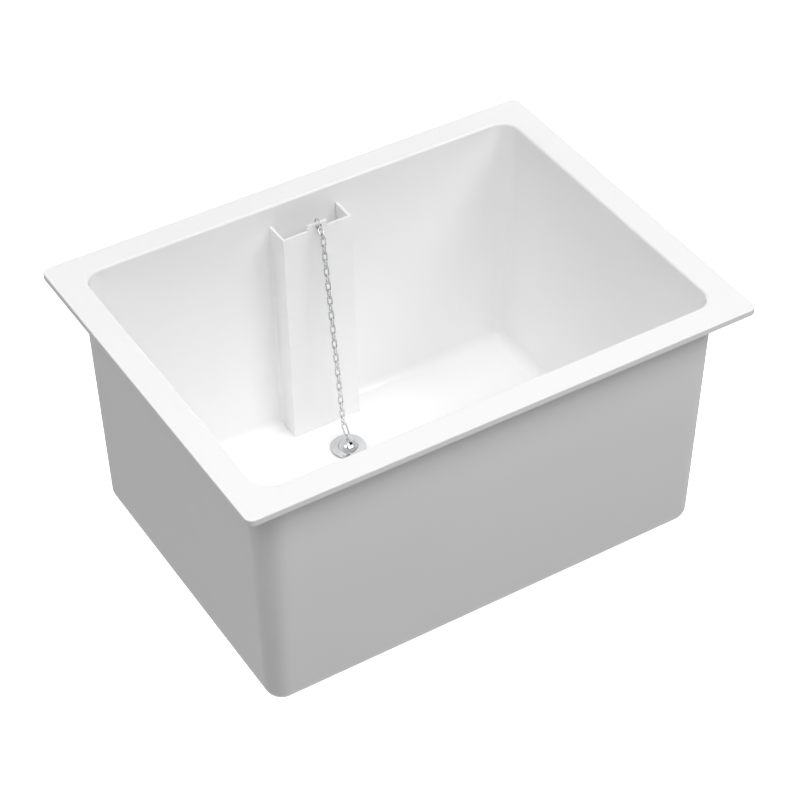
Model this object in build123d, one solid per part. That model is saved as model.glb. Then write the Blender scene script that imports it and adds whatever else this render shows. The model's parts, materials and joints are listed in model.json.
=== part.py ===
from build123d import *
from math import atan2, cos, degrees, radians, sin, sqrt, tan
import os

# Laboratory sink, drop-in, with a weir overflow and a plug on a chain. Millimetres, +Z up.
# The origin is the centre of the rim's underside, which is the plane of the worktop.

# Bowl
rim_length = 600.0
rim_width = 450.0
rim_thickness = 7.0
rim_corner_radius = 9.0
rim_edge_radius = 1.0
rim_border_ends = 32.0
rim_border_sides = 31.75
opening_corner_radius = 21.0
lip_radius = 3.0
bowl_depth = 307.0
wall_thickness = 7.25
floor_thickness = 6.0
wall_draft = 1.6
floor_fillet = 12.0

# Overflow weir
weir_width = 86.5
weir_reach = 30.0
weir_wall = 3.0
weir_drop = 26.5
tab_width = 23.5
tab_height = 7.1
tab_corner_radius = 1.0
tab_hole_diameter = 5.0
tab_hole_bridge = 3.0

# Waste
waste_from_weir = 46.7
flange_diameter = 70.0
flange_thickness = 3.0
flange_gap = 0.15
seal_thickness = 1.5
boss_diameter = 84.0
boss_height = 3.0
shank_diameter = 50.0
shank_gap = 0.5
thread_diameter = 47.8
thread_length = 31.0
tail_length = 82.0
tail_bore_diameter = 39.0
seat_floor_height = 4.0
grid_bar = 3.0
slot_count = 6
slot_width = 9.0
slot_height = 12.0
slot_lift = 1.0
nut_across_flats = 60.0
nut_height = 13.0
nut_chamfer = 30.0
nut_flange_diameter = 70.0
nut_flange_height = 3.0
nut_gap = 0.1

# Overflow duct under the floor
duct_height = 27.5
duct_wall = 3.0
duct_radius = 38.0
duct_corner_radius = 8.0
duct_end_wall = 9.0
duct_seal_diameter = 68.0
floor_slot_length = 60.0
floor_slot_width = 12.0
floor_slot_inset = 1.5

# Plug
cap_diameter = 40.5
cap_thickness = 1.5
cap_edge_radius = 0.6
cap_lift = 1.0
hub_diameter = 24.0
hub_height = 8.0
plug_height = 13.0
plug_top_diameter = 38.4
plug_taper = 15.0
seat_clearance = 0.3
stem_diameter = 4.0
stem_gap = 0.05
washer_diameter = 16.0
washer_thickness = 1.2
rivet_head_diameter = 7.0
rivet_head_low_diameter = 5.0
rivet_head_height = 1.6
eye_radius = 2.6
eye_wire = 1.8
eye_rise = 13.5

# Chain
top_ring_radius = 6.5
top_ring_wire = 1.8
top_ring_drop = 0.5
connector_tilt = 42.0
connector_inner_length = 6.2
end_link_radius = 3.3
link_wire = 1.8
link_inner_width = 3.4
link_count = 26
link_gap = 0.15
loop_inner_width = 3.4
loop_rise = 11.7
loop_reach = 10.1

# How far a cutting or joining shape runs past the face it meets
overlap = 1.0

# The bowl's opening
opening_length = rim_length - 2 * rim_border_ends
opening_width = rim_width - 2 * rim_border_sides

# Heights that several pieces share
rim_top = rim_thickness
floor_top = rim_top - bowl_depth
floor_under = floor_top - floor_thickness
boss_under = floor_under - boss_height
flange_under = floor_top - flange_thickness
recess_depth = flange_thickness + seal_thickness
duct_top = boss_under - seal_thickness
duct_under = duct_top - duct_height
nut_top = duct_under - seal_thickness
nut_under = nut_top - nut_height
tail_end = flange_under - tail_length
shank_end = tail_end + thread_length
draft_slope = tan(radians(wall_draft))
back_at_rim = opening_width / 2
weir_top = rim_top - weir_drop
tab_top = weir_top + tab_height
cap_under = floor_top + cap_lift
cap_top = cap_under + cap_thickness
rubber_under = cap_under - plug_height
washer_under = rubber_under - washer_thickness
plug_slope = tan(radians(plug_taper))
seat_under = rubber_under - seat_floor_height
shank_radius = shank_diameter / 2
shank_hole_radius = shank_radius + shank_gap
link_radius = (link_inner_width + link_wire) / 2


def back_wall(z):
    """Distance from the centre to the inner face of a long wall at height z."""
    return back_at_rim - (rim_top - z) * draft_slope


def weir_front(z):
    """Distance from the centre to the weir's front face at height z; it runs parallel to the back wall."""
    return back_wall(z) - weir_reach


# Distance from the centre to the waste's axis
waste_offset = weir_front(floor_top) - waste_from_weir


def place(y, z):
    """Point of the middle plane."""
    return Vector(0, y, z)


def toward(degrees_forward):
    """Direction in the middle plane, turned forward from straight down."""
    angle = radians(degrees_forward)
    return Vector(0, -sin(angle), -cos(angle))


# The chain's line: ring in the tab's hole, connector, round end link, oval links, loop, plug's eye
tab_hole_z = tab_top - tab_hole_bridge - tab_hole_diameter / 2
ring_inner = top_ring_radius - top_ring_wire / 2 - link_gap
ring_reach = sqrt(ring_inner**2 - (tab_hole_bridge - top_ring_drop) ** 2)
ring_centre = place(weir_front(tab_top) + weir_wall - ring_reach, tab_top - top_ring_drop)
connector_way = toward(connector_tilt)
connector_end = ring_inner + connector_inner_length
end_link_centre = ring_centre + connector_way * (connector_end - link_gap - link_wire / 2 + end_link_radius)
eye_centre = place(waste_offset, cap_top + eye_rise)
chain_end = eye_centre + place(loop_reach, loop_rise)
chain_way = (chain_end - end_link_centre).normalized()
end_bow_centre = chain_end - chain_way * link_radius
loop_way = (eye_centre - end_bow_centre).normalized()
chain_start = end_link_centre + chain_way * end_link_radius
link_pitch = (chain_end - chain_start).length / link_count
link_inner_length = link_pitch + link_gap
chain_tilt = degrees(atan2(-chain_way.Y, -chain_way.Z))
loop_tilt = degrees(atan2(-loop_way.Y, -loop_way.Z))


def post(radius, top, height):
    """Round block on the waste's axis, from top downwards."""
    return Pos(0, waste_offset, top - height) * extrude(Circle(radius), height)


def flat_ring(inner, outer, top, height):
    """Flat ring on the waste's axis, from top downwards."""
    return post(outer, top, height) - post(inner, top, height)


def tapered_block(length, width, corner, top, height):
    """Rounded block that narrows downwards by the walls' draft."""
    outline = Plane.XY.offset(top) * RectangleRounded(length, width, corner)
    return extrude(outline, -height, taper=wall_draft)


def bowl_cavity():
    block = tapered_block(opening_length, opening_width, opening_corner_radius, rim_top, bowl_depth)
    return fillet(block.edges().group_by(Axis.Z)[0], floor_fillet)


def sink_bowl():
    rim_outline = RectangleRounded(rim_length, rim_width, rim_corner_radius)
    rim = extrude(rim_outline, rim_thickness)
    rim = fillet(rim.edges().group_by(Axis.Z)[-1], rim_edge_radius)
    growth = 2 * (wall_thickness - rim_thickness * draft_slope)
    shell_corner = opening_corner_radius + wall_thickness
    shell_height = bowl_depth - rim_thickness + floor_thickness
    shell = tapered_block(opening_length + growth, opening_width + growth, shell_corner, 0, shell_height)
    shell = fillet(shell.edges().group_by(Axis.Z)[0], floor_fillet + wall_thickness)
    boss = post(boss_diameter / 2, floor_under + overlap, boss_height + overlap)
    bowl = rim + shell + boss - bowl_cavity()
    lip_x = (rim_length + opening_length) / 4
    lip_y = (rim_width + opening_width) / 4
    top_edges = bowl.edges().group_by(Axis.Z)[-1]
    lip = top_edges.filter_by(lambda e: abs(e.center().X) < lip_x and abs(e.center().Y) < lip_y)
    bowl = fillet(lip, lip_radius)
    recess = post(flange_diameter / 2 + flange_gap, floor_top + overlap, recess_depth + overlap)
    hole = post(shank_hole_radius, floor_top, floor_top - boss_under + overlap)
    return bowl - recess - hole - floor_slot(floor_top + overlap, floor_thickness + 2 * overlap)


def floor_slot_centre():
    return weir_front(floor_top) + weir_wall + floor_slot_inset + floor_slot_width / 2


def floor_slot(top, height, grow=0.0):
    """The rounded slot in the floor behind the weir, or its shape grown by a wall."""
    outline = SlotOverall(floor_slot_length + 2 * grow, floor_slot_width + 2 * grow)
    return Pos(0, floor_slot_centre(), top - height) * extrude(outline, height)


def side_profile(points, half_width):
    """Solid from an outline in the middle plane, given as (y, z) points."""
    face = make_face(Plane.YZ * Polyline(*points, close=True))
    return extrude(face, half_width, both=True)


def plate_profile(low, high, reach):
    """Outline between the weir's front plane and a line behind it, from height low to high."""
    return [
        (weir_front(low), low),
        (weir_front(high), high),
        (weir_front(high) + reach, high),
        (weir_front(low) + reach, low),
    ]


def overflow_weir():
    """Channel down the back wall, open at the top, with a drilled tab for the chain's ring."""
    low = floor_top - overlap
    tab = side_profile(plate_profile(weir_top - overlap, tab_top, weir_wall), tab_width / 2)
    tab_corners = tab.edges().group_by(Axis.Z)[-1].filter_by(Axis.Y)
    weir = fillet(tab_corners, tab_corner_radius)
    weir += side_profile(plate_profile(low, weir_top, weir_wall), weir_width / 2)
    for side in (-1, 1):
        cheek = side_profile(plate_profile(low, weir_top, weir_reach + overlap), weir_wall / 2)
        weir += Pos(side * (weir_width - weir_wall) / 2, 0, 0) * cheek
    drill = Rot(90, 0, 0) * Cylinder(tab_hole_diameter / 2, weir_wall + 2 * overlap)
    weir -= Pos(0, weir_front(tab_hole_z) + weir_wall / 2, tab_hole_z) * drill
    return weir & bowl_cavity()


def duct_block(grow_in, low, height):
    """Round-ended block from the waste to the slot behind the weir, smaller all round by grow_in."""
    radius = duct_radius - grow_in
    end = floor_slot_centre() + floor_slot_width / 2 + duct_end_wall - grow_in
    run = Pos(0, (waste_offset + end) / 2, 0) * Rectangle(2 * radius, end - waste_offset)
    plan = Pos(0, waste_offset, 0) * Circle(radius) + run
    block = Pos(0, 0, low) * extrude(plan, height)
    corners = block.edges().filter_by(Axis.Z).group_by(Axis.Y)[-1]
    return fillet(corners, duct_corner_radius - grow_in)


def overflow_duct():
    """Hollow box under the floor that leads the overflow to a ring chamber round the waste."""
    box = duct_block(0, duct_under, duct_height)
    hollow = duct_block(duct_wall, duct_under + duct_wall, duct_height - 2 * duct_wall)
    neck = floor_under - duct_top + duct_wall
    box += floor_slot(floor_under, neck, duct_wall)
    box -= floor_slot(floor_under + overlap, neck + 2 * overlap)
    return box - hollow - post(shank_hole_radius, duct_top + overlap, duct_height + 2 * overlap)


def waste_body():
    """Flanged outlet: tapered seat, cross grid, shank with overflow slots, and the trap's thread."""
    rubber_radius = plug_top_diameter / 2 - cap_lift * plug_slope
    seat_top_radius = rubber_radius + seat_clearance / cos(radians(plug_taper))
    seat_low_radius = seat_top_radius - (floor_top - seat_under) * plug_slope
    grid_under = seat_under - grid_bar
    profile = Polyline(
        (seat_low_radius, seat_under),
        (seat_top_radius, floor_top),
        (flange_diameter / 2, floor_top),
        (flange_diameter / 2, flange_under),
        (shank_radius, flange_under),
        (shank_radius, shank_end),
        (thread_diameter / 2, shank_end),
        (thread_diameter / 2, tail_end),
        (tail_bore_diameter / 2, tail_end),
        (tail_bore_diameter / 2, grid_under),
        (seat_low_radius, grid_under),
        close=True,
    )
    body = revolve(Plane.XZ * make_face(profile), Axis.Z)
    for turn in (0, 90):
        bar = Box(2 * seat_low_radius + overlap, grid_bar, grid_bar)
        body += Pos(0, 0, grid_under + grid_bar / 2) * Rot(0, 0, turn) * bar
    slot_z = duct_under + duct_wall + slot_lift + slot_height / 2
    shank_wall = (shank_diameter - tail_bore_diameter) / 2
    for index in range(slot_count):
        slot = Pos(shank_radius, 0, slot_z) * Box(2 * (shank_wall + overlap), slot_width, slot_height)
        body -= Rot(0, 0, 360 / slot_count * (index + 0.5)) * slot
    return Pos(0, waste_offset, 0) * body


def waste_backnut():
    """Hexagonal nut with chamfered lower corners and a round flange against the seal."""
    flat_radius = nut_across_flats / 2
    nut = extrude(RegularPolygon(flat_radius, 6, major_radius=False), nut_height)
    spread = nut_height / tan(radians(nut_chamfer))
    nut = nut & (Pos(0, 0, nut_height / 2) * Cone(flat_radius, flat_radius + spread, nut_height))
    nut = Pos(0, waste_offset, nut_under) * nut
    nut += post(nut_flange_diameter / 2, nut_top, nut_flange_height)
    return nut - post(shank_radius + nut_gap, nut_top + overlap, nut_height + 2 * overlap)


def plug_cap():
    """Thin disc with a low dome in the middle, drilled for the stem."""
    rim = cap_diameter / 2
    hub = hub_diameter / 2
    dome_top = cap_top + hub_height
    outline = Polyline((0, dome_top), (0, cap_under), (rim, cap_under), (rim, cap_top), (hub, cap_top))
    dome = TangentArc((0, dome_top), (hub, cap_top), tangent=(1, 0))
    cap = revolve(Plane.XZ * make_face([outline, dome]), Axis.Z)
    edge = cap.edges().filter_by(GeomType.CIRCLE).sort_by(SortBy.RADIUS)[-2:]
    cap = Pos(0, waste_offset, 0) * fillet(edge, cap_edge_radius)
    hole_depth = cap_thickness + hub_height + 2 * overlap
    return cap - post(stem_diameter / 2 + stem_gap, dome_top + overlap, hole_depth)


def plug_rubber():
    low_radius = plug_top_diameter / 2 - plug_height * plug_slope
    cone = Cone(low_radius, plug_top_diameter / 2, plug_height)
    cone -= Cylinder(stem_diameter / 2 + stem_gap, plug_height + 2 * overlap)
    return Pos(0, waste_offset, rubber_under + plug_height / 2) * cone


def plug_eye():
    """Wire eye on a stem that goes through the plug and is riveted under the washer."""
    eye = Rot(0, 90, 0) * Torus(eye_radius, eye_wire / 2)
    stem_top = eye_rise - eye_radius
    stem_low = washer_under - cap_top
    stem = Pos(0, 0, (stem_top + stem_low) / 2 - eye_rise) * Cylinder(stem_diameter / 2, stem_top - stem_low)
    head = Pos(0, 0, stem_low - rivet_head_height / 2 - eye_rise)
    head *= Cone(rivet_head_low_diameter / 2, rivet_head_diameter / 2, rivet_head_height)
    return Pos(eye_centre) * (eye + stem + head)


def oval_link(inner_length, inner_width, wire):
    """Oval wire link, long along Z and flat in the XZ plane, about its own centre."""
    bend = (inner_width + wire) / 2
    half = (inner_length - inner_width) / 2
    right = Line((bend, 0, -half), (bend, 0, half))
    upper = ThreePointArc((bend, 0, half), (0, 0, half + bend), (-bend, 0, half))
    left = Line((-bend, 0, half), (-bend, 0, -half))
    lower = ThreePointArc((-bend, 0, -half), (0, 0, -half - bend), (bend, 0, -half))
    section = Plane(origin=(bend, 0, -half), z_dir=(0, 0, 1)) * Circle(wire / 2)
    return sweep(section, path=Wire([right, upper, left, lower]))


def hang(link, centre, tilt, quarter_turn):
    """Link placed with its centre at a point of the middle plane, leaning forward by tilt degrees."""
    turned = Rot(0, 0, 90) * link if quarter_turn else link
    return Pos(centre) * Rot(-tilt, 0, 0) * turned


def top_ring():
    return Pos(ring_centre) * Rot(0, 90, 0) * Torus(top_ring_radius, top_ring_wire / 2)


def connector_link():
    middle = ring_centre + connector_way * ((ring_inner + connector_end) / 2)
    link = oval_link(connector_inner_length, link_inner_width, link_wire)
    return hang(link, middle, connector_tilt, False)


def end_link():
    return Pos(end_link_centre) * Rot(0, 90, 0) * Torus(end_link_radius, link_wire / 2)


def chain_link(index):
    """Oval link number index, counted from the top; even ones are turned a quarter turn."""
    middle = chain_start + chain_way * (link_pitch * (index - 0.5) - (link_wire + link_gap) / 2)
    link = oval_link(link_inner_length, link_inner_width, link_wire)
    return hang(link, middle, chain_tilt, index % 2 == 0)


def plug_loop():
    """Longer loop from the last link to the plug's eye."""
    start = end_bow_centre + loop_way * (link_radius - link_wire / 2 - link_gap)
    finish = eye_centre - loop_way * (eye_radius - eye_wire / 2 - link_gap)
    loop = oval_link((finish - start).length, loop_inner_width, link_wire)
    return hang(loop, (start + finish) * 0.5, loop_tilt, False)


def save(name, solid):
    export_step(solid, f"parts/{name}.step")


def main():
    os.makedirs("parts", exist_ok=True)
    save("sink_bowl", sink_bowl())
    save("overflow_weir", overflow_weir())
    save("overflow_duct", overflow_duct())
    save("waste_body", waste_body())
    flange_seal = flat_ring(shank_hole_radius, flange_diameter / 2, flange_under, seal_thickness)
    save("flange_seal", flange_seal)
    save("duct_seal_upper", flat_ring(shank_hole_radius, duct_seal_diameter / 2, boss_under, seal_thickness))
    save("duct_seal_lower", flat_ring(shank_hole_radius, duct_seal_diameter / 2, duct_under, seal_thickness))
    save("waste_backnut", waste_backnut())
    save("plug_cap", plug_cap())
    save("plug_rubber", plug_rubber())
    washer = flat_ring(stem_diameter / 2 + stem_gap, washer_diameter / 2, rubber_under, washer_thickness)
    save("plug_washer", washer)
    save("plug_eye", plug_eye())
    save("plug_loop", plug_loop())
    save("top_ring", top_ring())
    save("connector_link", connector_link())
    save("end_link", end_link())
    for index in range(1, link_count + 1):
        save(f"chain_link_{index:02d}", chain_link(index))
    print(f"link pitch {link_pitch:.3f}, chain tilt {chain_tilt:.2f}, loop tilt {loop_tilt:.2f}")
    print(f"chain start {chain_start}, chain end {chain_end}")


main()
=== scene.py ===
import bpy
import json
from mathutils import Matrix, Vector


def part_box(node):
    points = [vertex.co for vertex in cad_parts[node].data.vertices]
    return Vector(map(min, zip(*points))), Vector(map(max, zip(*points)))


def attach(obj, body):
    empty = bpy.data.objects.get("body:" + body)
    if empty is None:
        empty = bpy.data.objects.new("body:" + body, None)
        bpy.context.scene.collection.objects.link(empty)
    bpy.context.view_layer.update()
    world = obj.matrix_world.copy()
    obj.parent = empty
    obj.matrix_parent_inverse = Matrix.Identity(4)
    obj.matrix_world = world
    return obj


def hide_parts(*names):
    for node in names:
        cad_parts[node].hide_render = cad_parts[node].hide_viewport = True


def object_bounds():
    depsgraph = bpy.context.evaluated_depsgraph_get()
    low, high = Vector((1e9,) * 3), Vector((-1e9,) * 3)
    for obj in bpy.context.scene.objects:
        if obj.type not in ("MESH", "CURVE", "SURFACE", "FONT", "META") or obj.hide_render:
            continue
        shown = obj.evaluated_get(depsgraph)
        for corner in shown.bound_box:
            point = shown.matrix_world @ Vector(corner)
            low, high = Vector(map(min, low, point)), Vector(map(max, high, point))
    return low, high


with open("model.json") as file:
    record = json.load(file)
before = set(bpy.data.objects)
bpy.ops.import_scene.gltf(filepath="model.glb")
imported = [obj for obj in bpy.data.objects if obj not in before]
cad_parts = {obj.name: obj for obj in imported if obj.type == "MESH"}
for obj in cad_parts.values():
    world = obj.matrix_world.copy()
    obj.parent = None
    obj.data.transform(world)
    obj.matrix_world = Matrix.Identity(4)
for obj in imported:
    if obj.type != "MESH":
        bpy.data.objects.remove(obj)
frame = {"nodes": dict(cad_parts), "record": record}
CAD_BOX = [list(corner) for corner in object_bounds()]

import json
import logging
import math
from dataclasses import dataclass
from enum import Enum

import bmesh
import bpy
import numpy as np
from mathutils import Matrix, Vector

LOG = logging.getLogger("laboratory_sink")
MM = 0.001
WELD_DISTANCE = 2e-6
SHARP_ANGLE = math.radians(32)
FLAT_ANGLE = math.radians(0.6)
PHOTO_WIDTH = 800
NOISE_LOW, NOISE_HIGH = 0.3, 0.7
NOISE_ROUGHNESS = 0.55
HAZE_BELOW, HAZE_ABOVE = 0.03, 0.04


class Gloss(Enum):
    """How smooth the tool left a moulded surface, as the shader's roughness."""

    POLISHED = 0.2
    FAIR = 0.32
    SATIN = 0.5


class Recipe:
    """A material being put together: a Principled shader and the nodes that feed it."""

    def __init__(self, name: str) -> None:
        """Start an empty material.

        Args:
            name: the material's name.
        """
        self.material = bpy.data.materials.new(name)
        self.material.use_nodes = True
        self.tree = self.material.node_tree
        self.tree.nodes.clear()
        self.shader = self.node("ShaderNodeBsdfPrincipled")
        self.place = self.node("ShaderNodeTexCoord")
        output = self.node("ShaderNodeOutputMaterial")
        self.tree.links.new(self.shader.outputs["BSDF"], output.inputs["Surface"])

    def node(self, kind: str, **sockets: float | tuple) -> bpy.types.Node:
        """Add a node and set its sockets.

        Args:
            kind: the node's type name.
            **sockets: socket values, with underscores for the spaces in the names.

        Returns:
            The new node.
        """
        made = self.tree.nodes.new(kind)
        for name, value in sockets.items():
            made.inputs[name.replace("_", " ")].default_value = value
        return made

    def link(self, source: bpy.types.NodeSocket, node: bpy.types.Node, socket: str) -> None:
        """Join an output to a node's input socket."""
        self.tree.links.new(source, node.inputs[socket])

    def centred(self, centre: tuple[float, float, float]) -> bpy.types.NodeSocket:
        """Object coordinates measured from a centre.

        Args:
            centre: the point that becomes the pattern's origin, in metres.

        Returns:
            The vector output.
        """
        mapping = self.node("ShaderNodeMapping", Location=tuple(-c for c in centre))
        self.link(self.place.outputs["Object"], mapping, "Vector")
        return mapping.outputs["Vector"]

    def noise(self, scale: float, detail: float) -> bpy.types.NodeSocket:
        """Noise pattern on Object coordinates.

        Args:
            scale: features per metre.
            detail: octaves of finer noise.

        Returns:
            The noise's value output.
        """
        pattern = self.node(
            "ShaderNodeTexNoise", Scale=scale, Detail=detail, Roughness=NOISE_ROUGHNESS
        )
        self.link(self.place.outputs["Object"], pattern, "Vector")
        return pattern.outputs["Fac"]

    def tint(self, source: bpy.types.NodeSocket, dark: tuple, light: tuple) -> None:
        """Let a pattern run the base colour from a dark tone to a light one.

        Args:
            source: the pattern's value.
            dark: colour where the pattern is low.
            light: colour where it is high.
        """
        ramp = self.node("ShaderNodeValToRGB")
        stops = zip(ramp.color_ramp.elements, (NOISE_LOW, NOISE_HIGH), (dark, light))
        for element, position, colour in stops:
            element.position = position
            element.color = (*colour, 1.0)
        self.link(source, ramp, "Fac")
        self.link(ramp.outputs["Color"], self.shader, "Base Color")

    def roughen(self, source: bpy.types.NodeSocket, low: float, high: float) -> None:
        """Let a noise, over its usual range, run the roughness from low to high.

        Args:
            source: the noise's value.
            low: roughness where the noise is low.
            high: roughness where it is high.
        """
        ramp = self.node(
            "ShaderNodeMapRange", From_Min=NOISE_LOW, From_Max=NOISE_HIGH, To_Min=low, To_Max=high
        )
        self.link(source, ramp, "Value")
        self.link(ramp.outputs["Result"], self.shader, "Roughness")

    def relief(self, layers: list[tuple[bpy.types.NodeSocket, float]]) -> None:
        """Stack bump layers on the shader.

        Args:
            layers: each layer's height pattern and its full height in metres.
        """
        below = None
        for height, distance in layers:
            bump = self.node("ShaderNodeBump", Distance=distance, Strength=1.0)
            self.link(height, bump, "Height")
            if below is not None:
                self.link(below, bump, "Normal")
            below = bump.outputs["Normal"]
        self.link(below, self.shader, "Normal")

    def shine(self, **sockets: float | tuple) -> None:
        """Set plain values on the shader's own sockets."""
        for name, value in sockets.items():
            self.shader.inputs[name.replace("_", " ")].default_value = value


@dataclass(frozen=True)
class MouldedPolypropylene:
    """Opaque white polypropylene: faint clouding, a barely uneven skin and a fine surface grain.

    In every finish the scales are features per metre and the heights are metres.
    """

    name: str
    tone: tuple[float, float, float]
    gloss: Gloss
    cloud_scale: float = 7.0
    cloud_tone: float = 0.985
    haze_scale: float = 24.0
    ripple_scale: float = 11.0
    ripple_height: float = 5e-5
    grain_scale: float = 1400.0
    grain_height: float = 4e-6
    refraction: float = 1.49
    reflection: float = 0.5

    def build(self) -> bpy.types.Material:
        """Make the material.

        Returns:
            The material.
        """
        recipe = Recipe(self.name)
        dark = tuple(self.cloud_tone * c for c in self.tone)
        recipe.tint(recipe.noise(self.cloud_scale, detail=3.0), dark, self.tone)
        haze = recipe.noise(self.haze_scale, detail=4.0)
        recipe.roughen(haze, self.gloss.value - HAZE_BELOW, self.gloss.value + HAZE_ABOVE)
        ripple = recipe.noise(self.ripple_scale, detail=1.0)
        grain = recipe.noise(self.grain_scale, detail=1.0)
        recipe.relief([(ripple, self.ripple_height), (grain, self.grain_height)])
        recipe.shine(IOR=self.refraction, Specular_IOR_Level=self.reflection)
        return recipe.material


@dataclass(frozen=True)
class ChromePlate:
    """Bright chromium plate: mirror gloss with faint polishing haze and a soft plating ripple."""

    name: str
    tone: tuple[float, float, float]
    roughness: float
    ripple_scale: float
    ripple_height: float = 1.2e-5
    shade: float = 0.93

    def build(self) -> bpy.types.Material:
        """Make the material.

        Returns:
            The material.
        """
        recipe = Recipe(self.name)
        dark = tuple(self.shade * c for c in self.tone)
        recipe.tint(recipe.noise(self.ripple_scale / 2, detail=3.0), dark, self.tone)
        haze = recipe.noise(self.ripple_scale, detail=4.0)
        recipe.roughen(haze, self.roughness - HAZE_BELOW, self.roughness + HAZE_ABOVE)
        recipe.relief([(recipe.noise(self.ripple_scale, detail=2.0), self.ripple_height)])
        recipe.shine(Metallic=1.0)
        return recipe.material


@dataclass(frozen=True)
class TurnedSteel:
    """Plain steel with rings from turning about an upright axis."""

    name: str
    tone: tuple[float, float, float]
    axis_at: tuple[float, float]
    ring_scale: float = 900.0
    ring_wobble: float = 1.2
    ring_height: float = 8e-6
    stain_scale: float = 160.0
    stain_tone: float = 0.9
    haze_scale: float = 300.0
    least_roughness: float = 0.3
    most_roughness: float = 0.42

    def build(self) -> bpy.types.Material:
        """Make the material.

        Returns:
            The material.
        """
        recipe = Recipe(self.name)
        centred = recipe.centred((*self.axis_at, 0.0))
        rings = recipe.node(
            "ShaderNodeTexWave", Scale=self.ring_scale, Distortion=self.ring_wobble, Detail=3.0
        )
        rings.wave_type = "RINGS"
        rings.rings_direction = "Z"
        recipe.link(centred, rings, "Vector")
        dark = tuple(self.stain_tone * c for c in self.tone)
        recipe.tint(recipe.noise(self.stain_scale, detail=3.0), dark, self.tone)
        haze = recipe.noise(self.haze_scale, detail=3.0)
        recipe.roughen(haze, self.least_roughness, self.most_roughness)
        recipe.relief([(rings.outputs["Fac"], self.ring_height)])
        recipe.shine(Metallic=1.0)
        return recipe.material


@dataclass(frozen=True)
class MouldedRubber:
    """Black moulded rubber: a dull bloom over a fine matt grain."""

    name: str
    tone: tuple[float, float, float]
    roughness: float
    unevenness: float = 0.07
    dull_scale: float = 220.0
    bloom_scale: float = 90.0
    bloom_gain: float = 1.6
    grain_scale: float = 2600.0
    grain_height: float = 1.6e-5
    refraction: float = 1.52
    reflection: float = 0.4
    sheen: float = 0.08

    def build(self) -> bpy.types.Material:
        """Make the material.

        Returns:
            The material.
        """
        recipe = Recipe(self.name)
        bloom = tuple(min(1.0, self.bloom_gain * c) for c in self.tone)
        recipe.tint(recipe.noise(self.bloom_scale, detail=4.0), self.tone, bloom)
        dull = recipe.noise(self.dull_scale, detail=3.0)
        recipe.roughen(dull, self.roughness - self.unevenness, self.roughness + self.unevenness)
        recipe.relief([(recipe.noise(self.grain_scale, detail=2.0), self.grain_height)])
        recipe.shine(
            IOR=self.refraction, Specular_IOR_Level=self.reflection, Sheen_Weight=self.sheen
        )
        return recipe.material


@dataclass(frozen=True)
class PaperWhite:
    """Evenly lit white for the floor and the backdrop."""

    name: str
    brightness: float
    tone: float = 0.9
    roughness: float = 0.9

    def build(self) -> bpy.types.Material:
        """Make the material.

        Returns:
            The material.
        """
        recipe = Recipe(self.name)
        recipe.shine(Base_Color=(self.tone, self.tone, self.tone, 1.0), Roughness=self.roughness)
        recipe.shine(Emission_Color=(1.0, 1.0, 1.0, 1.0), Emission_Strength=self.brightness)
        return recipe.material


def grid_faces(rows: int, columns: int, close_columns: bool, close_rows: bool) -> np.ndarray:
    """Quads of a grid of points, whose numbers run along each row.

    A cell's corners are (row, column), (row, column + 1), (row + 1, column + 1) and
    (row + 1, column), where the last row or column runs on into the first one if it is closed.

    Args:
        rows: number of rows.
        columns: number of columns.
        close_columns: join the last column to the first.
        close_rows: join the last row to the first.

    Returns:
        Array of faces, four point numbers each.
    """
    row = np.arange(rows if close_rows else rows - 1)[:, None]
    column = np.arange(columns if close_columns else columns - 1)[None, :]
    next_row, next_column = (row + 1) % rows, (column + 1) % columns
    corners = [
        row * columns + column,
        row * columns + next_column,
        next_row * columns + next_column,
        next_row * columns + column,
    ]
    return np.stack(corners, axis=-1).reshape(-1, 4)


def tubes(grids: list[np.ndarray]) -> tuple[np.ndarray, np.ndarray]:
    """Points and faces of grids of one size, each closed round its columns.

    The points of a grid are numbered on from the last point of the grid before.

    Args:
        grids: arrays of points, rows along the tube and columns round it.

    Returns:
        The points and the quads.
    """
    rows, columns = grids[0].shape[:2]
    faces = grid_faces(rows, columns, close_columns=True, close_rows=False)
    quads = [faces + number * rows * columns for number in range(len(grids))]
    return np.concatenate([grid.reshape(-1, 3) for grid in grids]), np.concatenate(quads)


def finished(mesh: bpy.types.Mesh, shape: bmesh.types.BMesh) -> bpy.types.Object:
    """Write an edited shape into its mesh, smooth but for its sharp edges, and link its object.

    Args:
        mesh: the mesh to fill, which gives the object its name.
        shape: the edited shape, freed here.

    Returns:
        The object at the origin.
    """
    shape.to_mesh(mesh)
    shape.free()
    mesh.shade_smooth()
    mesh.set_sharp_from_angle(angle=SHARP_ANGLE)
    made = bpy.data.objects.new(mesh.name, mesh)
    bpy.context.scene.collection.objects.link(made)
    return made


def mesh_object(name: str, points: np.ndarray, faces: np.ndarray) -> bpy.types.Object:
    """Mesh object at the origin, welded, with its faces outward.

    Args:
        name: the object's name.
        points: grid of points in metres; the last axis holds x, y and z.
        faces: quads as point numbers.

    Returns:
        The object, linked to the scene.
    """
    mesh = bpy.data.meshes.new(name)
    mesh.from_pydata(points.reshape(-1, 3).tolist(), [], faces.tolist())
    shape = bmesh.new()
    shape.from_mesh(mesh)
    bmesh.ops.remove_doubles(shape, verts=shape.verts, dist=WELD_DISTANCE)
    bmesh.ops.recalc_face_normals(shape, faces=shape.faces)
    return finished(mesh, shape)


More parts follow.
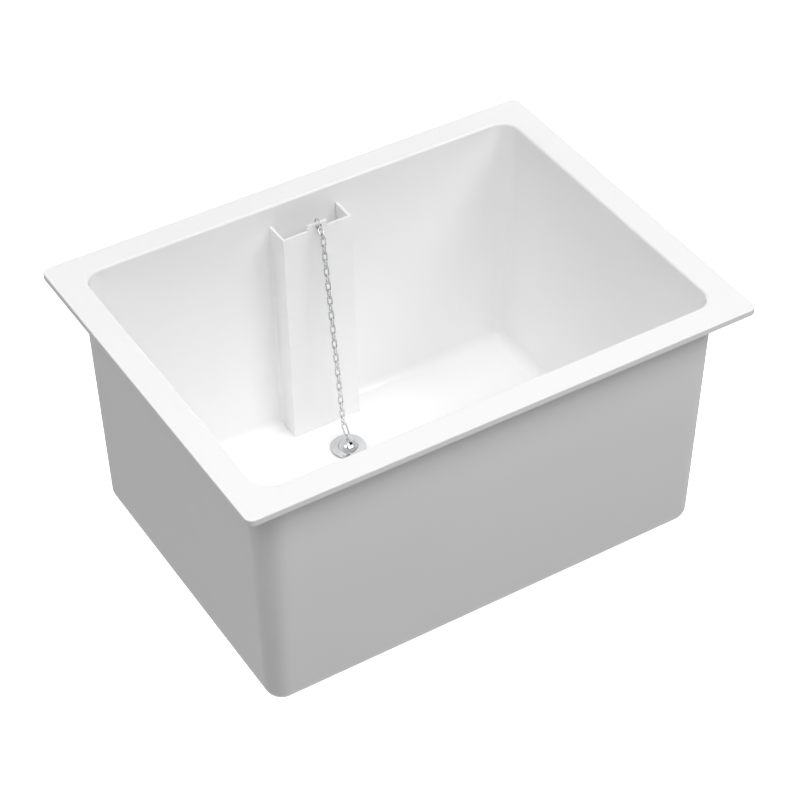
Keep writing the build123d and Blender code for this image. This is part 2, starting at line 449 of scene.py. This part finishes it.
def softened_copy(node: str, name: str, edge: float) -> bpy.types.Object:
    """Copy of a CAD node's shape with its sharp edges rounded.

    Args:
        node: the CAD node.
        name: the copy's name.
        edge: width of the rounding in metres.

    Returns:
        The copy at the origin.
    """
    shape = bmesh.new()
    shape.from_mesh(frame["nodes"][node].data)
    bmesh.ops.remove_doubles(shape, verts=shape.verts, dist=WELD_DISTANCE)
    bmesh.ops.dissolve_limit(
        shape, angle_limit=FLAT_ANGLE, verts=shape.verts, edges=shape.edges
    )
    pairs = [e for e in shape.edges if len(e.link_faces) == 2]
    sharp = [e for e in pairs if e.calc_face_angle() > SHARP_ANGLE]
    bmesh.ops.bevel(
        shape, geom=sharp, offset=edge, offset_type="OFFSET", segments=3, profile=0.5,
        affect="EDGES",
    )
    return finished(bpy.data.meshes.new(name), shape)


def rounded(corners: list[tuple[float, float]], radius: float, steps: int) -> np.ndarray:
    """Closed outline with every corner cut by the same round.

    At a corner the outline leaves the incoming edge at the radius's tangent length and follows
    the quadratic Bezier curve with the corner as its middle point, which stays within a few
    percent of the arc.

    Args:
        corners: the outline's corners in order.
        radius: round of the corners.
        steps: segments of each round.

    Returns:
        Array of points.
    """
    points = []
    t = np.linspace(0.0, 1.0, steps + 1)[:, None]
    neighbours = zip(corners[-1:] + corners[:-1], corners, corners[1:] + corners[:1])
    for before, corner, after in neighbours:
        middle = np.array(corner)
        back, ahead = np.array(before) - middle, np.array(after) - middle
        back, ahead = back / np.linalg.norm(back), ahead / np.linalg.norm(ahead)
        half = 0.5 * math.acos(float(np.clip(back @ ahead, -1.0, 1.0)))
        reach = radius / math.tan(half)
        start, finish = middle + back * reach, middle + ahead * reach
        points.append((1 - t) ** 2 * start + 2 * t * (1 - t) * middle + t**2 * finish)
    return np.concatenate(points)


def turned(profile: np.ndarray, axis_at: tuple[float, float], angle: np.ndarray) -> np.ndarray:
    """Grid of a profile turned about an upright axis.

    A profile point (r, z) goes to (x0 + r cos a, y0 + r sin a, z) for each of its angles a.

    Args:
        profile: radius and height in millimetres. The radius may differ from angle to angle, and
            then the profile's last column is the height and the others are the radii.
        axis_at: the axis's x and y in metres.
        angle: the angles in radians, one row for all points or a row for each.

    Returns:
        Array of points in metres, rows by profile point and columns by angle.
    """
    radius, height = profile[:, :-1] * MM, profile[:, -1:] * MM
    x = axis_at[0] + radius * np.cos(angle)
    y = axis_at[1] + radius * np.sin(angle)
    return np.stack([x, y, np.broadcast_to(height, x.shape)], axis=-1)


def full_turn(columns: int) -> np.ndarray:
    """Even angles round a full turn, in radians, as one row."""
    return np.linspace(0.0, 2 * np.pi, columns, endpoint=False)[None, :]


def carried(profile: np.ndarray, path: np.ndarray, outward: np.ndarray) -> np.ndarray:
    """Grid of a profile carried along a level path.

    A profile point (u, v) at a path point goes u along the outward direction there and v up.

    Args:
        profile: (outward, up) offsets in millimetres.
        path: the path's points in metres.
        outward: unit vector across the path at each point, level.

    Returns:
        Array of points in metres, rows along the path and columns round the profile.
    """
    up = np.array([0.0, 0.0, 1.0])
    across = profile[None, :, :1] * MM * outward[:, None, :]
    return path[:, None, :] + across + profile[None, :, 1:] * MM * up


def settle(
    piece: bpy.types.Object, material: bpy.types.Material, body: str, slot: str, *nodes: str
) -> None:
    """Dress a new piece, let it ride on its body and stand for the CAD nodes it replaces.

    Args:
        piece: the new object.
        material: its material.
        body: the CAD body it moves with.
        slot: the record's material slot; not used.
        *nodes: CAD nodes that it replaces.
    """
    piece.data.materials.append(material)
    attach(piece, body)
    if nodes:
        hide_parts(*nodes)
    LOG.info("%s rides on %s for %s", piece.name, body, ", ".join(nodes) or "itself")


def dress(material: bpy.types.Material, *nodes: str) -> None:
    """Give CAD nodes a material in all their slots.

    Args:
        material: the finish.
        *nodes: names of the CAD nodes.
    """
    for node in nodes:
        for place in frame["nodes"][node].material_slots:
            place.material = material
        LOG.info("%s keeps its shape, in %s", node, material.name)


def waste_axis() -> tuple[float, float]:
    """x and y of the waste's axis, from the record's thread mount."""
    mount = next(m for m in frame["record"]["mounts"] if m["name"] == "waste_thread")
    return mount["pos_m"][0], mount["pos_m"][1]


@dataclass
class Bowl:
    """The moulded bowl with its rim, and the weir welded in it.

    In every sub-assembly the lengths are millimetres and the angles degrees. weld_start gives the
    weld's size as a share of its full size, by depth below the weir's cheeks.
    """

    finish: MouldedPolypropylene = MouldedPolypropylene(
        "polished_polypropylene", (0.985, 0.985, 0.985), Gloss.POLISHED
    )
    weir_edge: float = 0.25
    weld_radius: float = 4.0
    weld_root: float = 1.0
    weld_points: int = 13
    weld_start: tuple = ((0.0, 0.0), (1.5, 0.25), (5.0, 0.5), (12.0, 0.78), (24.0, 1.0))
    weld_foot: float = 1.0
    back_wall_at_rim: float = 193.25
    wall_draft: float = 1.6
    rim_top: float = 7.0
    floor: float = -300.0
    cheek_top: float = -19.5

    def weld_mesh(self) -> tuple[np.ndarray, np.ndarray]:
        """Points and faces of the two hollow welds between the weir's cheeks and the back wall.

        Each is a quarter round hollow whose centre stands a radius off both the cheek and the
        wall, closed by a corner inside them, and carried down the wall's draft from the weir's
        top to just above the floor. The section swells from a point at the top, as weld_start
        gives by depth, and is drawn to a point again at the foot.

        Returns:
            The points in metres and the quads.
        """
        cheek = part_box("overflow_weir")[1].x / MM
        r, root = self.weld_radius, self.weld_root
        turn = np.linspace(np.pi / 2, np.pi, self.weld_points)
        hollow = np.stack([r + r * np.cos(turn), -r + r * np.sin(turn)], axis=-1)
        section = np.concatenate([hollow, [(-root, -r), (-root, root), (r, root)]])
        start = np.array(self.weld_start)
        foot = self.floor + self.weld_foot
        height = np.append(self.cheek_top - start[:, 0], [foot, foot])[:, None]
        size = np.append(start[:, 1], [1.0, 0.0])[:, None]
        slope = math.tan(math.radians(self.wall_draft))
        wall = self.back_wall_at_rim - (self.rim_top - height) * slope
        outward = cheek + size * section[None, :, 0]
        y = wall + size * section[None, :, 1]
        z = np.broadcast_to(height, y.shape)
        return tubes([np.stack([side * outward, y, z], axis=-1) * MM for side in (-1.0, 1.0)])

    def build(self) -> None:
        """Dress the bowl, make the weir with its edges eased and weld it to the back wall."""
        plastic = self.finish.build()
        dress(plastic, "sink_bowl")
        weir = softened_copy("overflow_weir", "eased_weir", self.weir_edge * MM)
        settle(weir, plastic, "root", "white_polypropylene", "overflow_weir")
        welds = mesh_object("weir_welds", *self.weld_mesh())
        settle(welds, plastic, "root", "white_polypropylene")


@dataclass
class Waste:
    """The outlet under the floor with its nut, its seals and the overflow duct."""

    body_finish: MouldedPolypropylene = MouldedPolypropylene(
        "fitting_polypropylene", (0.95, 0.95, 0.945), Gloss.FAIR
    )
    duct_finish: MouldedPolypropylene = MouldedPolypropylene(
        "duct_polypropylene", (0.88, 0.88, 0.87), Gloss.SATIN
    )
    seal_finish: MouldedRubber = MouldedRubber("seal_black_rubber", (0.02, 0.02, 0.02), 0.8)
    top: float = -300.0
    flange_radius: float = 35.12
    flange_edge: float = 0.15
    flange_under: float = -303.0
    flange_under_edge: float = 0.3
    shank_radius: float = 25.0
    shank_fillet: float = 0.8
    shank_chamfer: float = 0.4
    shank_end: float = -354.0
    thread_radius: float = 23.9
    thread_pitch: float = 2.309
    thread_depth: float = 1.3
    thread_power: float = 0.8
    thread_runout: float = 0.2
    thread_start: float = 0.9
    thread_stop: float = 0.8
    rows_a_pitch: int = 10
    tail_end: float = -385.0
    bore_radius: float = 19.5
    bore_chamfer: float = 0.5
    seat_top_radius: float = 19.243
    seat_edge: tuple = ((-0.12, -0.45), (0.12, -0.12), (0.5, 0.0))
    seat_low_radius: float = 14.955
    seat_under: float = -316.0
    grid_under: float = -319.0
    grid_round: float = 0.5
    grid_bite: float = 0.4
    slot_top: float = -322.0
    slot_under: float = -334.0
    slot_width: float = 9.0
    slots: int = 6
    columns_a_slot: int = 24
    nut_top: float = -339.5
    nut_under: float = -352.5
    nut_flat_radius: float = 30.0
    nut_face_edge: float = 0.2
    nut_flange_radius: float = 35.0
    nut_flange_height: float = 3.0
    nut_flange_edge: tuple = (0.5, 0.15)
    nut_bore_radius: float = 25.1
    nut_bore_chamfer: float = 0.9
    nut_chamfer: float = 30.0
    nut_chamfer_height: float = 3.2
    nut_chamfer_rows: int = 12
    nut_corner_power: int = 26
    nut_columns: int = 192
    duct_corner: float = 8.0
    duct_bow_points: int = 49
    duct_corner_points: int = 9
    bead_radius: float = 1.1
    bead_points: int = 9
    bead_root: float = 0.4
    bead_below_middle: float = 3.0

    def outside(self) -> np.ndarray:
        """Profile of the outlet's outer side from the seat's foot to the bottom of the tail.

        Returns:
            (radius, height) points in millimetres.
        """
        flange, under_edge = self.flange_radius, self.flange_under_edge
        shank, chamfer = self.shank_radius, self.shank_chamfer
        seat = [(self.seat_top_radius + out, self.top + up) for out, up in self.seat_edge]
        upper = np.array([
            (self.seat_low_radius, self.seat_under),
            *seat,
            (flange - self.flange_edge, self.top),
            (flange, self.top - self.flange_edge),
            (flange, self.flange_under + under_edge),
            (flange - under_edge, self.flange_under),
            (shank + self.shank_fillet, self.flange_under),
            (shank, self.flange_under - self.shank_fillet),
            (shank, self.slot_top),
            (shank, self.slot_under),
            (shank, self.shank_end + chamfer),
            (shank - chamfer, self.shank_end),
            (self.thread_radius, self.shank_end),
        ])
        first, last = self.shank_end - self.thread_start, self.tail_end + self.thread_stop
        height = np.arange(first, last, -self.thread_pitch / self.rows_a_pitch)
        thread = np.stack([np.full(len(height), self.thread_radius), height], axis=-1)
        foot = np.array([(self.thread_radius - self.thread_depth, self.tail_end)])
        return np.concatenate([upper, thread, foot])

    def inside(self) -> np.ndarray:
        """Profile of the bore from the bottom of the tail up to the grid.

        Returns:
            (radius, height) points in millimetres.
        """
        return np.array([
            (self.bore_radius + self.bore_chamfer, self.tail_end),
            (self.bore_radius, self.tail_end + self.bore_chamfer),
            (self.bore_radius, self.slot_under),
            (self.bore_radius, self.slot_top),
            (self.bore_radius, self.grid_under),
            (self.seat_low_radius, self.grid_under),
        ])

    def sector_angles(self, radius: np.ndarray) -> np.ndarray:
        """Angles of the outlet's columns, warped so that the slots' sides are parallel.

        A quarter of a sector's columns lie before its slot, half of them across it and a quarter
        after it. The slot's sides lie at +-asin(half width / radius) from the sector's middle.

        Args:
            radius: the radii in millimetres, as one column.

        Returns:
            The angles in radians, rows by radius and columns by angle.
        """
        columns = self.slots * self.columns_a_slot
        sector, step = np.divmod(np.arange(columns)[None, :], self.columns_a_slot)
        half = np.degrees(np.arcsin(self.slot_width / 2 / radius))
        full = 360.0 / self.slots
        quarter = self.columns_a_slot // 4
        before = (full / 2 - half) * step / quarter
        within = full / 2 - half + 2 * half * (step - quarter) / (2 * quarter)
        after = full / 2 + half + (full / 2 - half) * (step - 3 * quarter) / quarter
        turn = np.where(step < quarter, before, np.where(step < 3 * quarter, within, after))
        return np.radians(turn + full * sector)

    def slot_faces(self, height: np.ndarray) -> tuple[np.ndarray, np.ndarray]:
        """The cells that the slots take out of the outlet's grid, and the slots' walls.

        Args:
            height: the profile's heights in millimetres.

        Returns:
            True or False for each cell of the grid, and the walls' quads.
        """
        rows, columns = len(height), self.slots * self.columns_a_slot
        quarter = self.columns_a_slot // 4
        at_slot = (height[:-1] == self.slot_top) & (height[1:] == self.slot_under)
        at_slot |= (height[:-1] == self.slot_under) & (height[1:] == self.slot_top)
        cell_row, cell_column = np.divmod(np.arange(rows * columns), columns)
        step = cell_column % self.columns_a_slot
        windows = np.append(at_slot, False)[cell_row]
        windows &= (step >= quarter) & (step < 3 * quarter)
        outer, inner = np.flatnonzero(at_slot)
        corner_rows = [outer, outer + 1, inner, inner + 1]
        walls = []
        for first in range(quarter, columns, self.columns_a_slot):
            span = np.arange(first, first + 2 * quarter)
            for above, below in ((outer, inner + 1), (outer + 1, inner)):
                strip = [above * columns + span, above * columns + span + 1]
                strip += [below * columns + span + 1, below * columns + span]
                walls.append(np.stack(strip, axis=-1))
            for column in (first, first + 2 * quarter):
                walls.append(np.array([[row * columns + column for row in corner_rows]]))
        return windows, np.concatenate(walls)

    def outlet_mesh(self) -> tuple[np.ndarray, np.ndarray]:
        """Points and faces of the outlet with its slots and its thread.

        The profile is turned about the axis. On the thread the radius is the crest's less
        depth (0.5 - 0.5 cos(2 pi z / pitch - angle)) to thread_power, faded out over one pitch
        at both ends. The slots' cells are left out and their walls added.

        Returns:
            The points in metres and the quads.
        """
        profile = np.concatenate([self.outside(), self.inside()])
        radius, height = profile[:, :1], profile[:, 1:]
        angle = self.sector_angles(radius)
        on_thread = (radius == self.thread_radius) & (height < self.shank_end)
        phase = 2 * np.pi * (height / self.thread_pitch) - angle
        groove = (0.5 - 0.5 * np.cos(phase)) ** self.thread_power
        runout = self.thread_runout
        fade = np.clip((self.shank_end - height) / self.thread_pitch - runout, 0, 1)
        fade = fade * np.clip((height - self.tail_end) / self.thread_pitch + runout, 0, 1)
        out = radius - np.where(on_thread, self.thread_depth * groove * fade, 0.0)
        points = turned(np.concatenate([out, height], axis=1), waste_axis(), angle)
        faces = grid_faces(*angle.shape, close_columns=True, close_rows=True)
        windows, walls = self.slot_faces(height[:, 0])
        return points, np.concatenate([faces[~windows], walls])

    def grid_bars(self) -> tuple[np.ndarray, np.ndarray]:
        """Points and faces of the two crossed bars under the seat.

        Each bar is a rounded square section carried from one side of the seat to the other, with
        closed ends.

        Returns:
            The points in metres and the quads.
        """
        h = (self.seat_under - self.grid_under) / 2
        section = rounded([(-h, -h), (h, -h), (h, h), (-h, h)], self.grid_round, steps=4)
        reach = self.seat_low_radius + self.grid_bite
        along = np.array([-reach, -reach, reach, reach])[:, None]
        size = np.array([0.0, 1.0, 1.0, 0.0])[:, None]
        across = size * section[None, :, 0]
        z = (self.grid_under + h + size * section[None, :, 1]) * MM
        x0, y0 = waste_axis()
        bars = []
        for ux, uy in ((1.0, 0.0), (0.0, 1.0)):
            x = x0 + (ux * along - uy * across) * MM
            y = y0 + (uy * along + ux * across) * MM
            bars.append(np.stack([x, y, z], axis=-1))
        return tubes(bars)

    def nut_mesh(self) -> tuple[np.ndarray, np.ndarray]:
        """Points and faces of the back nut.

        The profile is turned about the axis. On the hexagon the radius is the flat radius over
        the p-norm of |cos(a)|, |cos(a - 60)| and |cos(a - 120)| with p = nut_corner_power, a
        hexagon with eased corners, and it is never more than the chamfer cone's radius at that
        height. The hexagon's points have the radius 0 until then.

        Returns:
            The points in metres and the quads.
        """
        under, top = self.nut_under, self.nut_top
        step = top - self.nut_flange_height
        rim, (wide, narrow) = self.nut_flange_radius, self.nut_flange_edge
        chamfer = np.linspace(
            under + self.nut_chamfer_height, under + narrow, self.nut_chamfer_rows
        )
        levels = np.concatenate([[step], chamfer, [under]])
        flange = np.array([
            (self.nut_bore_radius, top),
            (rim - wide, top),
            (rim - narrow, top - narrow),
            (rim, top - wide),
            (rim, step + wide),
            (rim - narrow, step + narrow),
            (rim - wide, step),
        ])
        hexagon = np.stack([np.zeros(len(levels)), levels], axis=-1)
        bore = np.array([
            (self.nut_bore_radius + self.nut_bore_chamfer, under),
            (self.nut_bore_radius, under + self.nut_bore_chamfer),
        ])
        profile = np.concatenate([flange, hexagon, bore])
        radius, height = profile[:, :1], profile[:, 1:]
        angle, p = full_turn(self.nut_columns), self.nut_corner_power
        folds = sum(np.abs(np.cos(angle - math.radians(60 * k))) ** p for k in range(3))
        flats = self.nut_flat_radius / folds ** (1 / p)
        rise = (height - under) / math.tan(math.radians(self.nut_chamfer))
        cone = self.nut_flat_radius - self.nut_face_edge + rise
        out = np.where(radius > 0, radius, np.minimum(flats, cone))
        points = turned(np.concatenate([out, height], axis=1), waste_axis(), angle)
        return points, grid_faces(*out.shape, close_columns=True, close_rows=True)

    def duct_path(self) -> tuple[np.ndarray, np.ndarray]:
        """The line of the duct's weld round its outline, and the outward direction along it.

        It is a half circle round the waste's axis, two straight sides, and a straight end with
        round corners.

        Returns:
            The points in metres and the unit outward directions.
        """
        low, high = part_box("overflow_duct")
        x0, y0 = waste_axis()
        corner = self.duct_corner * MM
        arcs = (
            (x0, y0, (high.x - low.x) / 2, np.pi, 2 * np.pi, self.duct_bow_points),
            (high.x - corner, high.y - corner, corner, 0.0, np.pi / 2, self.duct_corner_points),
            (low.x + corner, high.y - corner, corner, np.pi / 2, np.pi, self.duct_corner_points),
        )
        z = (low.z + high.z) / 2 - self.bead_below_middle * MM
        path, outward = [], []
        for x, y, radius, start, finish, points in arcs:
            angle = np.linspace(start, finish, points)
            away = np.stack([np.cos(angle), np.sin(angle), np.zeros(points)], axis=-1)
            outward.append(away)
            path.append(np.array([x, y, z]) + radius * away)
        return np.concatenate(path), np.concatenate(outward)

    def bead_mesh(self) -> tuple[np.ndarray, np.ndarray]:
        """Points and faces of the half round bead where the duct's two halves are welded.

        Returns:
            The points in metres and the quads.
        """
        r, root = self.bead_radius, self.bead_root
        bow = np.linspace(-np.pi / 2, np.pi / 2, self.bead_points)
        half_round = np.stack([r * np.cos(bow), r * np.sin(bow)], axis=-1)
        section = np.concatenate([half_round, [[-root, r], [-root, -r]]])
        path, outward = self.duct_path()
        faces = grid_faces(len(path), len(section), close_columns=True, close_rows=True)
        return carried(section, path, outward), faces

    def build(self) -> None:
        """Make the outlet, its grid, the nut and the duct's bead; dress the duct and the seals."""
        fitting = self.body_finish.build()
        outlet = mesh_object("threaded_outlet", *self.outlet_mesh())
        settle(outlet, fitting, "root", "white_fitting", "waste_body")
        grid = mesh_object("outlet_grid", *self.grid_bars())
        settle(grid, fitting, "root", "white_fitting")
        nut = mesh_object("eased_backnut", *self.nut_mesh())
        settle(nut, fitting, "root", "white_fitting", "waste_backnut")
        duct = self.duct_finish.build()
        dress(duct, "overflow_duct")
        bead = mesh_object("duct_weld_bead", *self.bead_mesh())
        settle(bead, duct, "root", "white_duct")
        dress(self.seal_finish.build(), "flange_seal", "duct_seal_upper", "duct_seal_lower")


@dataclass
class Plug:
    """The chromed cap with its eye, and the rubber stopper under it."""

    chrome: ChromePlate = ChromePlate("cap_chrome", (0.68, 0.695, 0.71), 0.08, 120.0)
    rubber: MouldedRubber = MouldedRubber("stopper_rubber", (0.028, 0.028, 0.029), 0.66)
    washer_tone: tuple = (0.62, 0.62, 0.63)
    cone_slope: float = 15.0
    rib_count: int = 3
    rib_depth: float = 0.7
    rib_power: float = 0.7
    cone_points: int = 49
    wide_edge: float = 0.5
    narrow_edge: float = 0.15
    hole_radius: float = 2.05
    columns: int = 96

    def stopper_profile(self) -> np.ndarray:
        """Closed profile of the stopper: a cone with shallow grooves and sealing ribs between.

        The radius is the cone's less rib_depth (1 - |cos(pi n s)|), the cosine to rib_power,
        where s runs from 0 to 1 down the cone and n is the number of ribs.

        Returns:
            (radius, height) points in millimetres, round the hole too.
        """
        low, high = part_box("plug_rubber")
        top, under = high.z / MM, low.z / MM
        wide, narrow, hole = self.wide_edge, self.narrow_edge, self.hole_radius
        s = np.linspace(0.0, 1.0, self.cone_points)
        height = top - wide - s * (top - under - 2 * wide)
        cone = (high.x - low.x) / 2 / MM - (top - height) * math.tan(math.radians(self.cone_slope))
        wave = np.abs(np.cos(np.pi * self.rib_count * s)) ** self.rib_power
        radius = cone - self.rib_depth * (1 - wave)
        side = np.stack([radius, height], axis=-1)
        first, last = radius[0], radius[-1]
        head = np.array([
            [hole, under], [hole, top], [first - wide, top], [first - narrow, top - narrow]
        ])
        foot = np.array([[last - narrow, under + narrow], [last - wide, under]])
        return np.concatenate([head, side, foot])

    def build(self) -> None:
        """Dress the cap, the washer and the eye, and make the ribbed stopper."""
        profile = self.stopper_profile()
        points = turned(profile, waste_axis(), full_turn(self.columns))
        faces = grid_faces(len(profile), self.columns, close_columns=True, close_rows=True)
        stopper = mesh_object("ribbed_stopper", points, faces)
        settle(stopper, self.rubber.build(), "plug", "plug_rubber", "plug_rubber")
        dress(self.chrome.build(), "plug_cap", "plug_eye")
        steel = TurnedSteel("washer_turned_steel", self.washer_tone, waste_axis())
        dress(steel.build(), "plug_washer")


@dataclass
class Chain:
    """The plated wire chain from the weir's tab to the plug."""

    chrome: ChromePlate = ChromePlate("chain_chrome", (0.7, 0.705, 0.715), 0.06, 420.0)

    def build(self) -> None:
        """Dress the rings, the links and the loop."""
        links = sorted(name for name in frame["nodes"] if name.startswith("chain_link"))
        dress(self.chrome.build(), "top_ring", "connector_link", "end_link", *links, "plug_loop")


@dataclass
class Studio:
    """White floor and backdrop, soft light and the camera.

    Places and sizes are metres here. A soft box is its name, place, side and power in watts. The
    sky is its brightness by height of view: 0 straight down, 0.5 level and 1 straight up.
    """

    camera_at: tuple[float, float, float] = (-1.0342, -1.7019, 1.6047)
    look_azimuth: float = 31.393
    look_down: float = 41.337
    camera_roll: float = -0.451
    focal_pixels: float = 2453.3
    sensor_width: float = 36.0
    clip_start: float = 0.05
    clip_end: float = 60.0
    dome_radius: float = 9.0
    dome_rows: int = 13
    dome_columns: int = 48
    paper: PaperWhite = PaperWhite("studio_white", 1.0)
    sky: tuple = ((0.0, 1.17), (0.35, 0.0), (1.0, 0.0))
    boxes: tuple = (
        ("front_overhead", (0.0, -1.7, 2.4), 1.4, 32.2),
        ("right_front_overhead", (1.7, -1.7, 2.4), 1.4, 36.4),
        ("left_front_overhead", (-1.7, -1.7, 2.4), 1.4, 3.1),
        ("left_overhead", (-1.7, 0.0, 2.4), 1.4, 22.4),
        ("overhead", (0.0, 0.0, 2.4), 1.4, 8.9),
        ("back_overhead", (0.0, 1.7, 2.4), 1.4, 3.2),
        ("right_back", (2.05, 2.05, 0.8), 1.6, 15.0),
        ("back", (0.0, 2.9, 0.8), 1.6, 21.0),
        ("left_back", (-2.05, 2.05, 0.8), 1.6, 5.1),
    )

    def camera(self) -> None:
        """Stand the camera where the photograph was taken from.

        Its forward axis is the azimuth to the right of +Y and the angle down; right is forward
        cross Z, and both right and up turn about forward by the roll.
        """
        azimuth, down, roll = map(
            math.radians, (self.look_azimuth, self.look_down, self.camera_roll)
        )
        level_share = math.cos(down)
        forward = Vector(
            (math.sin(azimuth) * level_share, math.cos(azimuth) * level_share, -math.sin(down))
        )
        level = forward.cross(Vector((0, 0, 1))).normalized()
        upright = level.cross(forward)
        right = math.cos(roll) * level + math.sin(roll) * upright
        up = math.cos(roll) * upright - math.sin(roll) * level
        data = bpy.data.cameras.new("camera")
        data.sensor_width = self.sensor_width
        data.lens = self.focal_pixels / PHOTO_WIDTH * self.sensor_width
        data.clip_start, data.clip_end = self.clip_start, self.clip_end
        camera = bpy.data.objects.new("camera", data)
        turn = Matrix((right, up, -forward)).transposed().to_4x4()
        camera.matrix_world = Matrix.Translation(self.camera_at) @ turn
        bpy.context.scene.collection.objects.link(camera)
        bpy.context.scene.camera = camera

    def sweep(self) -> None:
        """White floor that runs out under a dome, seen by the camera alone.

        The profile is the floor's radius, then a quarter round of the dome's radius up to its
        top.
        """
        ground = CAD_BOX[0][2] / MM
        reach = self.dome_radius / MM
        rise = np.linspace(0.0, np.pi / 2, self.dome_rows)
        wall = np.stack([reach * np.cos(rise), ground + reach * np.sin(rise)], axis=-1)
        profile = np.concatenate([[[0.0, ground], [reach / 2, ground]], wall])
        points = turned(profile, (0.0, 0.0), full_turn(self.dome_columns))
        faces = grid_faces(len(profile), self.dome_columns, close_columns=True, close_rows=False)
        floor = mesh_object("studio_floor", points, faces)
        floor.data.materials.append(self.paper.build())
        floor.visible_diffuse = False
        floor.visible_glossy = False
        floor.visible_transmission = False
        floor.visible_shadow = False

    def daylight(self) -> None:
        """World light that comes up from below and fades out before it is level."""
        world = bpy.data.worlds.new("studio_air")
        bpy.context.scene.world = world
        world.use_nodes = True
        tree = world.node_tree
        tree.nodes.clear()
        kinds = ("TexCoord", "SeparateXYZ", "MapRange", "ValToRGB", "Background", "OutputWorld")
        place, split, remap, ramp, shade, output = (
            tree.nodes.new(f"ShaderNode{kind}") for kind in kinds
        )
        remap.inputs["From Min"].default_value = -1.0
        tree.links.new(place.outputs["Generated"], split.inputs["Vector"])
        tree.links.new(split.outputs["Z"], remap.inputs["Value"])
        tree.links.new(remap.outputs["Result"], ramp.inputs["Fac"])
        tree.links.new(ramp.outputs["Color"], shade.inputs["Color"])
        tree.links.new(shade.outputs["Background"], output.inputs["Surface"])
        elements = ramp.color_ramp.elements
        for position, _ in self.sky[1:-1]:
            elements.new(position)
        for element, (_, tone) in zip(elements, self.sky):
            element.color = (tone, tone, tone, 1.0)

    def lamps(self) -> None:
        """Square soft boxes that face the bowl."""
        for name, place, size, power in self.boxes:
            data = bpy.data.lights.new(name, "AREA")
            data.shape = "SQUARE"
            data.size = size
            data.energy = power
            lamp = bpy.data.objects.new(name, data)
            lamp.location = place
            lamp.rotation_euler = (-Vector(place)).to_track_quat("-Z", "Y").to_euler()
            bpy.context.scene.collection.objects.link(lamp)

    def build(self) -> None:
        """Set up the camera, the floor and the light."""
        self.camera()
        self.sweep()
        self.daylight()
        self.lamps()
        bpy.context.scene.view_settings.view_transform = "Standard"


def main() -> None:
    """Build the sub-assemblies in order, then the studio."""
    logging.basicConfig(level=logging.INFO, format="%(name)s: %(message)s")
    for assembly in (Bowl(), Waste(), Plug(), Chain(), Studio()):
        assembly.build()
        LOG.info("%s done", type(assembly).__name__)


if __name__ == "__main__":
    main()
